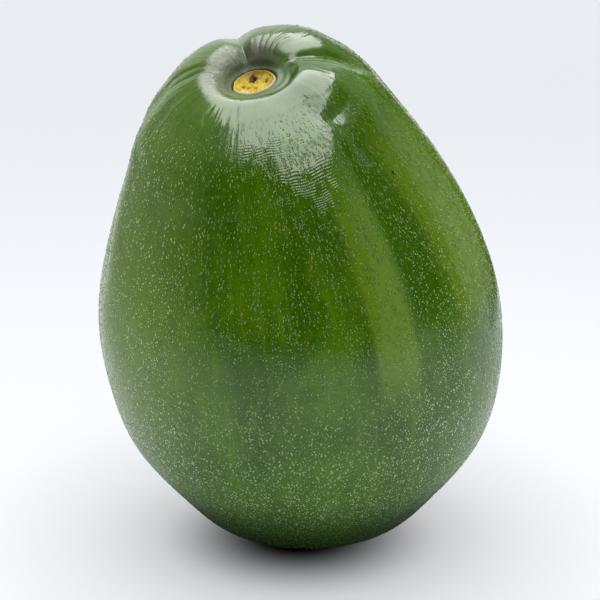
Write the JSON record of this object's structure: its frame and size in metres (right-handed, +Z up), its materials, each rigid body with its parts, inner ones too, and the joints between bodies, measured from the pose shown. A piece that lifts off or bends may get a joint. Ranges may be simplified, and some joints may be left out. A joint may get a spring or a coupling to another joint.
{
  "type": "avocado",
  "caption": "Large smooth green-skinned avocado that stands upright on its blossom end, with a lobed stem cavity and a cut woody stem button.",
  "frame": {"origin": "middle of the small flat spot at the blossom end that the fruit stands on, at floor level", "axes": "+Z up through the fruit, -Y towards the front that the stem end leans to, +X to its right"},
  "size_m": [0.0923, 0.0908, 0.12],
  "materials": {
    "skin": "gloss",
    "stem_wood": "satin"
  },
  "bodies": {
    "root": {"fruit": "skin", "stem_button": "stem_wood"}
  },
  "joints": []
}
